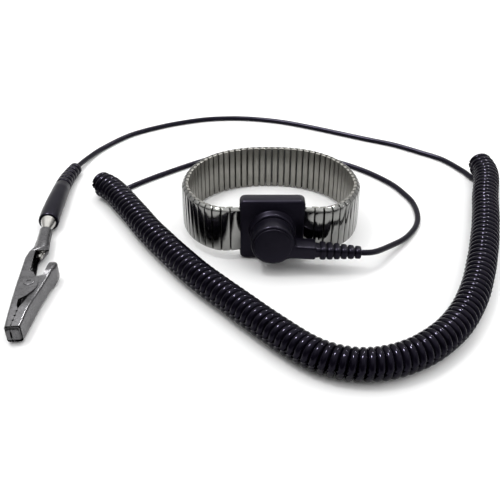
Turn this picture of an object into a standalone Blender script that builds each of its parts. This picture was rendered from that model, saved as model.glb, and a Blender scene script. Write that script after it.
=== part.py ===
"""ESD wrist strap: expansion wristband, snap housing, coiled cord, banana plug and alligator clip.

Lengths below are in millimetres and are turned into metres when a mesh is made.
+X runs along the wristband's wide side, +Y from the snap housing to the back of the
wristband, +Z up from the table. The origin lies under the middle of the wristband unit.
"""

import math

import bmesh
import bpy
from mathutils import Matrix, Vector

MM = 0.001

# Wristband oval, measured to the middle of the band's thickness
ORIGIN_Y = 3.8  # the oval's centre lies this far behind the housing-and-band middle
BAND_HALF_WIDTH = 33.4
BAND_BACK_DEPTH = 34.1
BAND_BACK_POWER = 2.25
BAND_FRONT_PATH = (
    (-10.0, -19.9), (-13.0, -20.8), (-16.2, -21.35), (-19.2, -21.2), (-22.2, -20.0), (-25.2, -17.8),
    (-28.0, -14.8), (-30.3, -11.0), (-32.0, -6.8), (-33.1, -2.6),
)
BAND_WIDTH = 18.0
LINK_STRETCH = 0.07  # the links lie this much further apart at the housing, and closer at the back
LINKS_PER_SEGMENT = 5
SEGMENTS_PER_SIDE = 6
LINK_GAP = 0.4
COVER_OUT = 1.2
WEB = 0.2
BAR_IN = 1.5
BAR_CLEARANCE = 0.3

# Housing
HOUSING_WIDTH = 23.8
HOUSING_HEIGHT = 24.0
HOUSING_FRONT = -22.0
HOUSING_REAR = -16.25
HOUSING_CORNER = 2.2
BOSS_RADIUS = 8.4
BOSS_FRONT = -24.8
TILT_DEGREES = 3.32
STUD_HEIGHT = 11.7
BAND_HEIGHT = 12.0

# Snap connector on the stud
HEAD_RADIUS = 7.7
HEAD_REAR = -25.4
HEAD_FACE = -32.4
HEAD_FRONT = -33.0
STEM_Y = -29.4
STEM_BELOW = 2.5  # the stem's centre line leaves the head this far under the stud's axis
STEM_DROP_DEGREES = 3.7
NECK_HALF_HEIGHT = 2.5
NECK_END = 15.6
STEM_END = 32.3
RIB_PITCH = 2.56
RIB_COUNT = 6

# Cord
LEAD_RADIUS = 1.1
COIL_RADIUS = 5.35
COIL_BORE = 2.9
COIL_HEIGHT = 5.38

# Banana plug and clip, measured along the plug's axis from the boot's mouth
PLUG_MOUTH = (-87.6, -3.0, 4.3)
PLUG_DIRECTION = (0.1, -0.99499, 0.0)
PIN_LENGTH = 24.0
BARREL_START = 7.0
BARREL_END = 21.5
BARREL_RADIUS = 2.45
BARREL_BORE = 2.08
RIVET_AT = 43.7
RIVET_RADIUS = 1.2
SHEET = 0.5

COIL_PATH = (
    (-71.2, 25.3), (-67.9, 22.9), (-64.5, 18.6), (-60.8, 12.6), (-53.2, 0.2), (-44.9, -13.6), (-28.1, -36.9),
    (-13.1, -54.0), (-0.8, -67.4), (10.4, -78.2), (18.6, -82.3), (27.6, -83.5), (37.0, -81.3),
    (46.6, -76.1), (58.0, -65.3), (68.2, -48.6), (77.3, -26.0), (84.6, -3.4), (89.7, 15.5),
    (93.0, 25.5), (95.1, 33.4), (95.9, 38.9), (95.2, 42.8),
)
SNAP_LEAD_PATH = (
    (38.0, -26.2, 6.4), (44.5, -19.2, 4.0), (52.0, -11.0, 2.0), (58.0, -1.5, 1.15),
    (60.5, 7.0, 1.1), (60.5, 17.0, 1.1), (58.0, 25.0, 1.1), (54.0, 33.3, 1.1), (46.0, 43.0, 1.1),
    (37.5, 50.3, 1.1), (29.0, 55.5, 1.1), (17.0, 60.5, 1.1), (3.0, 63.5, 1.1), (-11.0, 63.0, 1.1),
    (-24.0, 58.5, 1.1), (-35.0, 51.5, 1.1), (-45.5, 43.5, 1.1), (-52.7, 37.6, 1.1),
    (-59.2, 31.6, 1.1), (-62.3, 28.0, 1.2), (-63.5, 26.2, 1.35),
)
PLUG_LEAD_PATH = (
    (90.3, 39.7, 1.3), (89.5, 43.0, 1.2), (87.6, 47.0, 1.1), (84.6, 52.4, 1.1), (80.8, 57.4, 1.1),
    (73.0, 63.5, 1.1),
    (62.0, 71.5, 1.1), (50.0, 77.5, 1.1), (36.5, 84.5, 1.1), (22.0, 92.0, 1.1), (7.0, 98.5, 1.1),
    (-10.5, 102.3, 1.1), (-26.5, 102.0, 1.1), (-39.5, 98.6, 1.1), (-53.5, 92.3, 1.1),
    (-68.0, 82.3, 1.1), (-79.0, 67.6, 1.2), (-83.6, 56.5, 1.9), (-85.8, 48.6, 2.6),
    (-86.75, 44.0, 2.98), (-87.5, 39.5, 3.2),
)


def clear_scene():
    for obj in list(bpy.data.objects):
        bpy.data.objects.remove(obj)


def new_collection(name):
    collection = bpy.data.collections.new(name)
    bpy.context.scene.collection.children.link(collection)
    return collection


def material(name, color, metallic, roughness):
    made = bpy.data.materials.new(name)
    made.use_nodes = True
    made.diffuse_color = (*color, 1.0)
    shader = made.node_tree.nodes["Principled BSDF"]
    shader.inputs["Base Color"].default_value = (*color, 1.0)
    shader.inputs["Metallic"].default_value = metallic
    shader.inputs["Roughness"].default_value = roughness
    return made


STEEL = ((0.62, 0.62, 0.63), 1.0, 0.28)
NICKEL = ((0.68, 0.67, 0.65), 1.0, 0.2)
BLACK_PLASTIC = ((0.02, 0.02, 0.022), 0.0, 0.4)
BLACK_VINYL = ((0.016, 0.016, 0.018), 0.0, 0.25)


# ---- mesh helpers: every shape is given in millimetres ----


def at(x, y, z):
    """A point of the object, from the oval's centre to the part's own origin."""
    return Vector((x, y - ORIGIN_Y, z))


def add_object(name, mesh_data, look, collection, parent=None):
    mesh = bpy.data.meshes.new(name)
    mesh_data.to_mesh(mesh)
    mesh_data.free()
    mesh.transform(Matrix.Scale(MM, 4))
    obj = bpy.data.objects.new(name, mesh)
    collection.objects.link(obj)
    if look:
        obj.data.materials.append(material(name, *look))
    if parent:
        obj.parent = parent
    return obj


def set_origin(obj, point):
    """Puts the object's origin on a point given in its own space, in metres."""
    obj.data.transform(Matrix.Translation(-point))
    obj.location = point


def rings_to_mesh(rings, closed_length=False, caps=True):
    """A mesh from rings of equal length, joined one to the next."""
    made = bmesh.new()
    rows = []
    for ring in rings:
        row = []
        for point in ring:
            row.append(made.verts.new(point))
        rows.append(row)
    count = len(rows[0])
    steps = len(rows) if closed_length else len(rows) - 1
    for i in range(steps):
        low = rows[i]
        high = rows[(i + 1) % len(rows)]
        for j in range(count):
            k = (j + 1) % count
            made.faces.new((low[j], low[k], high[k], high[j]))
    if caps and not closed_length:
        made.faces.new(list(reversed(rows[0])))
        made.faces.new(rows[-1])
    made.normal_update()
    bmesh.ops.triangulate(made, faces=[f for f in made.faces if len(f.verts) > 4])
    bmesh.ops.recalc_face_normals(made, faces=made.faces[:])
    return made


def frame_of(direction, up=Vector((0.0, 0.0, 1.0))):
    """Two unit vectors square to a direction."""
    direction = direction.normalized()
    side = direction.cross(up)
    if side.length < 1e-6:
        side = direction.cross(Vector((1.0, 0.0, 0.0)))
    side.normalize()
    return side, side.cross(direction).normalized()


def lathe(profile, base, direction, sides=32):
    """Turns (distance, radius) points about the line from base along direction.

    A profile whose two ends have no radius is closed by points on the axis. Any other
    profile is a closed loop round the wall of a ring.
    """
    direction = direction.normalized()
    side, up = frame_of(direction)
    solid = profile[0][1] == 0 and profile[-1][1] == 0
    inner = profile[1:-1] if solid else profile
    rings = []
    for distance, radius in inner:
        ring = []
        for j in range(sides):
            angle = 2 * math.pi * j / sides
            offset = side * (radius * math.cos(angle)) + up * (radius * math.sin(angle))
            ring.append(base + direction * distance + offset)
        rings.append(ring)
    if not solid:
        return rings_to_mesh(rings, closed_length=True)
    made = rings_to_mesh(rings, caps=False)
    made.verts.ensure_lookup_table()
    for tip, start in ((profile[0], 0), (profile[-1], (len(rings) - 1) * sides)):
        point = made.verts.new(base + direction * tip[0])
        made.verts.ensure_lookup_table()
        for j in range(sides):
            made.faces.new((made.verts[start + j], made.verts[start + (j + 1) % sides], point))
    bmesh.ops.recalc_face_normals(made, faces=made.faces[:])
    return made


def smooth_path(points, step):
    """A Catmull-Rom curve through the points, with about one point per step."""
    points = [Vector(p) for p in points]
    ends = [points[0] * 2 - points[1]] + points + [points[-1] * 2 - points[-2]]
    path = []
    for i in range(1, len(ends) - 2):
        a, b, c, d = ends[i - 1 : i + 3]
        pieces = max(1, round((c - b).length / step))
        for k in range(pieces):
            t = k / pieces
            blend = 2 * b + (c - a) * t + (2 * a - 5 * b + 4 * c - d) * t * t
            path.append((blend + (3 * b - a - 3 * c + d) * t**3) / 2)
    path.append(points[-1])
    return path


def ring_round(point, direction, radius, sides):
    side, up = frame_of(direction)
    ring = []
    for j in range(sides):
        angle = 2 * math.pi * j / sides
        ring.append(point + side * (radius * math.cos(angle)) + up * (radius * math.sin(angle)))
    return ring


def directions_of(path):
    found = []
    for i in range(len(path)):
        found.append(path[min(i + 1, len(path) - 1)] - path[max(i - 1, 0)])
    return found


def tube(path, radii, bores=None, sides=12):
    """A wire along a path, or an open pipe where bores are given."""
    headings = directions_of(path)
    rings = []
    for point, heading, radius in zip(path, headings, radii):
        rings.append(ring_round(point, heading, radius, sides))
    if bores is None:
        return rings_to_mesh(rings)
    for point, heading, bore in reversed(list(zip(path, headings, bores))):
        rings.append(ring_round(point, heading, bore, sides))
    return rings_to_mesh(rings, closed_length=True)


def prism(outline, base, across, along, depth, thickness):
    """An outline of (across, along) pairs, made solid through a thickness along depth."""
    rings = []
    for level in (0.0, thickness):
        ring = []
        for a, b in outline:
            ring.append(base + across * a + along * b + depth * level)
        rings.append(ring)
    return rings_to_mesh(rings)


def rounded_rectangle(width, height, corner, steps=4):
    outline = []
    for quarter in range(4):
        sx = (1, -1, -1, 1)[quarter]
        sy = (1, 1, -1, -1)[quarter]
        for k in range(steps + 1):
            angle = math.pi / 2 * (quarter + k / steps)
            x = sx * (width / 2 - corner) + corner * math.cos(angle)
            y = sy * (height / 2 - corner) + corner * math.sin(angle)
            outline.append((x, y))
    return outline


X_AXIS = Vector((1.0, 0.0, 0.0))
Y_AXIS = Vector((0.0, 1.0, 0.0))
Z_AXIS = Vector((0.0, 0.0, 1.0))


def rounded_block(width, height, corner, centre, front, rear, soft):
    """A rounded plate across Y whose front and rear edges are softened."""
    rings = []
    for y, inset in ((front, soft), (front + soft * 0.35, soft * 0.35), (front + soft, 0.0),
                     (rear - soft * 0.4, 0.0), (rear, soft * 0.4)):
        ring = []
        for a, b in rounded_rectangle(width - 2 * inset, height - 2 * inset, max(corner - inset, 0.4)):
            ring.append(at(centre[0] + a, y, centre[1] + b))
        rings.append(ring)
    return rings_to_mesh(rings)


def box(low, high):
    outline = ((low[0], low[1]), (high[0], low[1]), (high[0], high[1]), (low[0], high[1]))
    return prism(outline, at(0, 0, low[2]), X_AXIS, Y_AXIS, Z_AXIS, high[2] - low[2])


def combine(obj, mesh_data, operation):
    """Joins a shape to the object or cuts it away; the shape is in the object's space."""
    helper = add_object(obj.name + "_" + operation.lower(), mesh_data, None, CUTTERS, obj.parent)
    helper.hide_render = True
    helper.display_type = "WIRE"
    step = obj.modifiers.new(operation.lower(), "BOOLEAN")
    step.operation = operation
    step.solver = "EXACT"
    step.object = helper
    step.show_render = step.show_viewport


# ---- wristband ----


def back_point(angle):
    """A point of the back half of the oval, by an angle from the back that grows to the left."""
    x = -math.sin(angle)
    y = math.cos(angle)
    power = BAND_BACK_POWER
    scale = (abs(x / BAND_HALF_WIDTH) ** power + abs(y / BAND_BACK_DEPTH) ** power) ** (-1 / power)
    return Vector((x * scale, y * scale, 0.0))


def half_oval():
    """The left half of the oval, from the housing's side to the back, as a dense path."""
    points = [Vector((x, y, 0.0)) for x, y in BAND_FRONT_PATH]
    steps = 14
    for i in range(steps + 1):
        points.append(back_point(math.pi / 2 * (1 - i / steps)))
    path = smooth_path(points, 0.1)
    return [point for point in path if point.x < -HOUSING_WIDTH / 2 - 0.35 or point.y > 0]


def path_lengths(path):
    lengths = [0.0]
    for a, b in zip(path, path[1:]):
        lengths.append(lengths[-1] + (b - a).length)
    return lengths


def on_path(path, lengths, distance, outward):
    """A point at a distance along the half oval and off it to the outside."""
    if distance >= lengths[-1]:
        return Vector((distance - lengths[-1], path[-1].y + outward, 0.0))
    i = 1
    while lengths[i] < distance and i < len(lengths) - 1:
        i += 1
    part = (distance - lengths[i - 1]) / (lengths[i] - lengths[i - 1])
    heading = (path[i] - path[i - 1]).normalized()
    point = path[i - 1].lerp(path[i], part)
    normal = Vector((-heading.y, heading.x, 0.0))
    return point + normal * outward


def link_start(index, length):
    """How far along the half oval the link of this number starts."""
    part = index / (LINKS_PER_SEGMENT * SEGMENTS_PER_SIDE)
    return length * part * (1 + LINK_STRETCH * (1 - part))


def segment_outline(length, first, has_last_bar):
    """The side view of five covers over five bars, as (distance, outward) points."""
    half = LINK_GAP / 2
    start = link_start(first, length)
    top = []
    bottom = []
    for i in range(first, first + LINKS_PER_SEGMENT):
        left = link_start(i, length) + half
        right = link_start(i + 1, length) - half
        top += [(left, WEB), (left, COVER_OUT - 0.25), (left + 0.3, COVER_OUT)]
        top += [((left + right) / 2, COVER_OUT)]
        top += [(right - 0.3, COVER_OUT), (right, COVER_OUT - 0.25), (right, WEB)]
    top[0] = (start + half, -WEB)
    end = link_start(first + LINKS_PER_SEGMENT, length)
    for i in range(first, first + LINKS_PER_SEGMENT):
        left = link_start(i + 0.5, length) + half
        right = link_start(i + 1.5, length) - half
        if i == first + LINKS_PER_SEGMENT - 1:
            if not has_last_bar:
                break
            bottom += [(left, -WEB), (left, -BAR_IN), (right, -BAR_IN)]
            bottom += [(right, -WEB - BAR_CLEARANCE), (end - half, -WEB - BAR_CLEARANCE)]
        else:
            bottom += [(left, -WEB), (left, -BAR_IN), (right, -BAR_IN), (right, -WEB)]
    if not has_last_bar:
        bottom.append((end - half, -WEB))
    return top + list(reversed(bottom))


def build_band(collection, unit):
    path = half_oval()
    lengths = path_lengths(path)
    low = BAND_HEIGHT - BAND_WIDTH / 2
    for side, name in ((1, "left"), (-1, "right")):
        for k in range(SEGMENTS_PER_SIDE):
            first = k * LINKS_PER_SEGMENT
            last = k == SEGMENTS_PER_SIDE - 1
            has_bar = name == "left" or not last
            ring_low = []
            ring_high = []
            for distance, outward in segment_outline(lengths[-1], first, has_bar):
                point = on_path(path, lengths, distance, outward)
                ring_low.append(at(side * point.x, point.y, low))
                ring_high.append(at(side * point.x, point.y, low + BAND_WIDTH))
            made = rings_to_mesh([ring_low, ring_high])
            segment = add_object(f"band_{name}_{k + 1:02d}", made, STEEL, collection, unit)
            pivot = on_path(path, lengths, link_start(first, lengths[-1]), 0.0)
            set_origin(segment, at(side * pivot.x, pivot.y, BAND_HEIGHT) * MM)


# ---- housing ----


def build_housing(collection, unit):
    centre = (0.0, HOUSING_HEIGHT / 2)
    cover = add_object(
        "housing_cover",
        rounded_block(HOUSING_WIDTH, HOUSING_HEIGHT, HOUSING_CORNER, centre, HOUSING_FRONT,
                      HOUSING_REAR, 1.0),
        BLACK_PLASTIC, collection, unit,
    )
    axis = at(0, 0, STUD_HEIGHT)
    front = -Y_AXIS
    boss = [(-HOUSING_FRONT - 1.5, 0), (-HOUSING_FRONT - 1.5, BOSS_RADIUS),
            (-HOUSING_FRONT + 0.3, BOSS_RADIUS), (-BOSS_FRONT - 0.4, BOSS_RADIUS - 0.35),
            (-BOSS_FRONT, BOSS_RADIUS - 0.8), (-BOSS_FRONT, 0)]
    combine(cover, lathe(boss, axis, front, 40), "UNION")
    combine(cover, box((-13, -20.2, 3.6), (13, -14, 20.4)), "DIFFERENCE")
    bore = [(10, 0), (10, 1.75), (30, 1.75), (30, 0)]
    combine(cover, lathe(bore, axis, front, 26), "DIFFERENCE")

    plate = prism(rounded_rectangle(27.0, 16.0, 0.8), at(0, -20.1, BAND_HEIGHT), X_AXIS, Z_AXIS,
                  Y_AXIS, 0.4)
    anchor = add_object("anchor_plate", plate, STEEL, collection, unit)
    combine(anchor, lathe(bore, axis, front, 26), "DIFFERENCE")

    plate = prism(rounded_rectangle(22.0, 22.8, 1.6), at(0, -16.1, BAND_HEIGHT), X_AXIS, Z_AXIS,
                  Y_AXIS, 0.6)
    add_object("contact_plate", plate, STEEL, collection, unit)

    stud = [(16.3, 0), (16.3, 3.2), (16.65, 3.2), (16.65, 1.5), (24.95, 1.5), (24.95, 4.6),
            (25.35, 4.6), (25.35, 1.8), (27.4, 1.8), (27.9, 2.1), (28.6, 2.1), (29.2, 1.5), (29.2, 0)]
    add_object("snap_stud", lathe(stud, axis, front, 28), NICKEL, collection, unit)


# ---- snap connector ----


def stem_line():
    """The stem's start on the stud's axis plane, its direction and its upward direction."""
    angle = math.radians(STEM_DROP_DEGREES)
    along = Vector((math.cos(angle), 0.0, -math.sin(angle)))
    up = Vector((math.sin(angle), 0.0, math.cos(angle)))
    return at(0, STEM_Y, STUD_HEIGHT) - up * STEM_BELOW, along, up


def arc(centre, radius, first, last, steps):
    points = []
    for k in range(steps + 1):
        angle = first + (last - first) * k / steps
        points.append((centre[0] + radius * math.cos(angle), centre[1] + radius * math.sin(angle)))
    return points


def head_outline(inset):
    """The round head running into its low neck, as (along, up) points about the stud's axis."""
    radius = HEAD_RADIUS - inset
    top = NECK_HALF_HEIGHT - STEM_BELOW - inset
    bottom = -NECK_HALF_HEIGHT - STEM_BELOW + inset
    small = 1.5 + inset
    large = 4.0 + inset
    high = (math.sqrt((radius + small) ** 2 - (top + small) ** 2), top + small)
    low = (math.sqrt((radius + large) ** 2 - (bottom - large) ** 2), bottom - large)
    first = math.atan2(high[1], high[0])
    last = math.atan2(low[1], low[0])
    points = arc((0, 0), radius, first, last + 2 * math.pi, 36)
    points += arc(low, large, last + math.pi, math.pi / 2, 6)[1:]
    points += [(NECK_END - inset, bottom), (NECK_END - inset, top)]
    points += arc(high, small, -math.pi / 2, first - math.pi, 5)[:-1]
    return points


def stem_ring(base, along, up, station):
    """One rounded cross-section of the stem: (distance, half depth, half height, corner)."""
    distance, depth, height, corner = station
    ring = []
    for a, b in rounded_rectangle(2 * depth, 2 * height, corner, 3):
        ring.append(base + along * distance + Y_AXIS * a + up * b)
    return ring


def stem_stations():
    stations = [(12.0, 2.9, 2.0, 1.2), (16.2, 2.9, 2.0, 1.2)]
    for i in range(RIB_COUNT):
        middle = 18.2 + i * RIB_PITCH
        depth = 3.35 - 0.2 * i
        height = 2.5 - 0.09 * i
        corner = 1.3 + 0.05 * i
        half = RIB_PITCH / 2
        for offset, cut in ((-half + 0.12, 0.5), (-half + 0.35, 0.12), (-half + 0.7, 0.0),
                            (half - 0.7, 0.0), (half - 0.35, 0.12), (half - 0.12, 0.5)):
            stations.append((middle + offset, depth - cut, height - cut, corner))
    return stations


def build_connector(collection, unit):
    axis = at(0, 0, STUD_HEIGHT)
    front = -Y_AXIS
    ring = [(25.9, 2.45), (25.9, 4.9), (29.7, 4.9), (29.7, 2.45), (28.0, 2.45), (28.0, 3.1),
            (26.9, 3.1), (26.9, 2.45)]
    socket = add_object("snap_socket", lathe(ring, axis, front, 28), NICKEL, collection, unit)
    set_origin(socket, at(0, HEAD_REAR, STUD_HEIGHT) * MM)

    wire = []
    for i in range(33):
        angle = math.radians(15 + 330 * i / 32)
        wire.append(at(2.52 * math.cos(angle), -27.45, STUD_HEIGHT + 2.52 * math.sin(angle)))
    spring = add_object("socket_spring", tube(wire, [0.3] * 33, sides=8), STEEL, collection, unit)
    set_origin(spring, at(0, HEAD_REAR, STUD_HEIGHT) * MM)

    base, along, up = stem_line()
    rings = []
    for y, inset in ((HEAD_FACE, 0.7), (HEAD_FACE + 0.2, 0.25), (HEAD_FACE + 0.7, 0.0),
                     (HEAD_REAR - 0.5, 0.0), (HEAD_REAR, 0.5)):
        ring = []
        for a, b in head_outline(inset):
            ring.append(at(0, y, STUD_HEIGHT) + along * a + up * b)
        rings.append(ring)
    body = add_object("connector_body", rings_to_mesh(rings), BLACK_PLASTIC, collection, unit)
    stem = [stem_ring(base, along, up, station) for station in stem_stations()]
    combine(body, rings_to_mesh(stem), "UNION")
    cavity = [(20, 0), (20, 5.15), (30, 5.15), (30, 0)]
    combine(body, lathe(cavity, axis, front, 32), "DIFFERENCE")
    recess = [(31.5, 0), (31.5, 5.8), (36, 5.8), (36, 0)]
    combine(body, lathe(recess, axis, front, 32), "DIFFERENCE")
    channel = [(3.0, 0), (3.0, 1.4), (17.0, 1.4), (18.0, 1.2), (36.0, 1.2), (36.0, 0)]
    combine(body, lathe(channel, base, along, 20), "DIFFERENCE")
    set_origin(body, at(0, HEAD_REAR, STUD_HEIGHT) * MM)

    lid = [(31.6, 0), (31.6, 5.65), (32.45, 5.65), (32.45, 6.8), (32.8, 6.8), (33.0, 6.5), (33.0, 0)]
    cap = add_object("connector_cap", lathe(lid, axis, front, 36), BLACK_PLASTIC, collection, unit)
    set_origin(cap, at(0, HEAD_REAR, STUD_HEIGHT) * MM)

    resistor = [(9.2, 0), (9.2, 0.9), (9.5, 1.15), (10.8, 1.15), (11.2, 0.98), (13.8, 0.98),
                (14.2, 1.15), (15.5, 1.15), (15.8, 0.9), (15.8, 0)]
    wires = (
        ("resistor_body", lathe(resistor, base, along, 20), ((0.42, 0.55, 0.62), 0.0, 0.4)),
        ("resistor_lead_inner", lathe([(4.7, 0), (4.7, 0.3), (9.1, 0.3), (9.1, 0)], base, along, 10),
         STEEL),
        ("resistor_lead_outer", lathe([(15.9, 0), (15.9, 0.3), (21.0, 0.3), (21.0, 0)], base, along, 10),
         STEEL),
        ("crimp_sleeve", lathe([(18.4, 0.42), (18.4, 0.75), (23.4, 0.75), (23.4, 0.42)], base, along, 16),
         ((0.75, 0.6, 0.3), 1.0, 0.3)),
    )
    for name, made, look in wires:
        set_origin(add_object(name, made, look, collection, unit), at(0, HEAD_REAR, STUD_HEIGHT) * MM)


# ---- cord ----


def build_cord(collection, tilt):
    axis_points = [at(x, y, COIL_HEIGHT) for x, y in COIL_PATH]
    path = smooth_path(axis_points, 9.0)
    count = len(path)
    coil = tube(path, [COIL_RADIUS] * count, [COIL_BORE] * count, sides=16)
    add_object("coiled_cord", coil, BLACK_VINYL, collection)

    base, along, up = stem_line()
    start = [tilt @ (base + along * d) for d in (STEM_END - 7.0, STEM_END - 1.0, STEM_END + 1.5)]
    path = smooth_path(start + [at(*point) for point in SNAP_LEAD_PATH], 6.0)
    lead = tube(path, [LEAD_RADIUS] * len(path), sides=10)
    add_object("snap_lead", lead, BLACK_VINYL, collection)

    path = smooth_path([at(*point) for point in PLUG_LEAD_PATH], 7.0)
    lead = tube(path, [LEAD_RADIUS] * len(path), sides=10)
    add_object("plug_lead", lead, BLACK_VINYL, collection)


# ---- banana plug ----


def build_plug(collection):
    mouth = at(*PLUG_MOUTH)
    along = Vector(PLUG_DIRECTION).normalized()
    stations = (
        # distance back from the mouth, x, z, outer radius, bore
        (0.0, 0.0, 4.3, 3.75, 3.4), (1.2, -0.12, 4.3, 3.9, 3.4), (2.0, -0.2, 4.3, 3.9, 3.35),
        (2.2, -0.22, 4.3, 3.9, 2.1), (6.5, -0.5, 4.3, 3.85, 2.1), (15.5, -0.6, 4.3, 3.7, 2.1),
        (16.5, -0.65, 4.25, 3.65, 1.3), (24.0, -0.85, 4.05, 3.4, 1.3), (32.0, -0.9, 3.75, 3.15, 1.3),
        (36.0, -0.7, 3.55, 3.0, 1.3), (42.0, 0.0, 3.25, 2.8, 1.3), (46.5, 0.8, 3.0, 2.6, 1.3),
        (47.3, 0.95, 2.95, 2.3, 1.3),
    )
    path = [at(PLUG_MOUTH[0] + dx, PLUG_MOUTH[1] + back, z) for back, dx, z, r, b in stations]
    boot = tube(path, [s[3] for s in stations], [s[4] for s in stations], sides=24)
    add_object("plug_boot", boot, BLACK_VINYL, collection)

    turned = [(-6.5, 0), (-6.5, 1.6), (-1.2, 1.6), (-1.2, 3.0), (0.0, 3.15), (5.6, 1.5),
              (5.8, 1.2), (PIN_LENGTH, 1.2), (PIN_LENGTH + 0.6, 0.7), (PIN_LENGTH + 0.6, 0)]
    add_object("plug_body", lathe(turned, mouth, along, 28), NICKEL, collection)

    cage = [(8.4, 1.5), (11.5, 1.88), (18.5, 1.88), (22.5, 1.5), (22.5, 1.3), (18.5, 1.66),
            (11.5, 1.66), (8.4, 1.3)]
    spring = add_object("plug_cage_spring", lathe(cage, mouth, along, 20), NICKEL, collection)
    set_origin(spring, mouth * MM)


# ---- alligator clip ----


def channel_ring(mouth, along, across, station, facing):
    """One cross-section of a folded channel whose back faces left (-1) or right (+1)."""
    u, edge, back, half, corner, sheet = station
    outer = [(edge, half)]
    inner = [(edge, half - sheet)]
    for k in range(7):
        angle = math.pi / 2 * (1 - k / 6)
        outer.append((back - facing * corner * (1 - math.cos(angle)), half - corner * (1 - math.sin(angle))))
        small = max(corner - sheet, 0.05)
        wall = back - facing * sheet
        inner_v = wall - facing * small * (1 - math.cos(angle))
        inner.append((inner_v, half - sheet - small * (1 - math.sin(angle))))
    outer += [(v, -w) for v, w in reversed(outer)]
    inner += [(v, -w) for v, w in reversed(inner)]
    ring = []
    for v, w in outer + list(reversed(inner)):
        ring.append(mouth + along * u + across * v + Z_AXIS * w)
    return ring


def barrel_ring(mouth, along, across, u):
    """One cross-section of the rolled barrel, which is open by a narrow seam on its right."""
    outer = []
    inner = []
    for k in range(16):
        angle = math.radians(8 + 344 * k / 15)
        v, w = math.cos(angle), math.sin(angle)
        outer.append((BARREL_RADIUS * v, BARREL_RADIUS * w))
        inner.append((BARREL_BORE * v, BARREL_BORE * w))
    ring = []
    for v, w in outer + list(reversed(inner)):
        ring.append(mouth + along * u + across * v + Z_AXIS * w)
    return ring


def notches(first, pitch, count, depth):
    """(distance, depth) points of a row of small V-shaped notches between the teeth."""
    found = []
    for i in range(count):
        middle = first + pitch * i
        found += [(middle - 0.5, 0.0), (middle, depth), (middle + 0.5, 0.0)]
    return found


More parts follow.
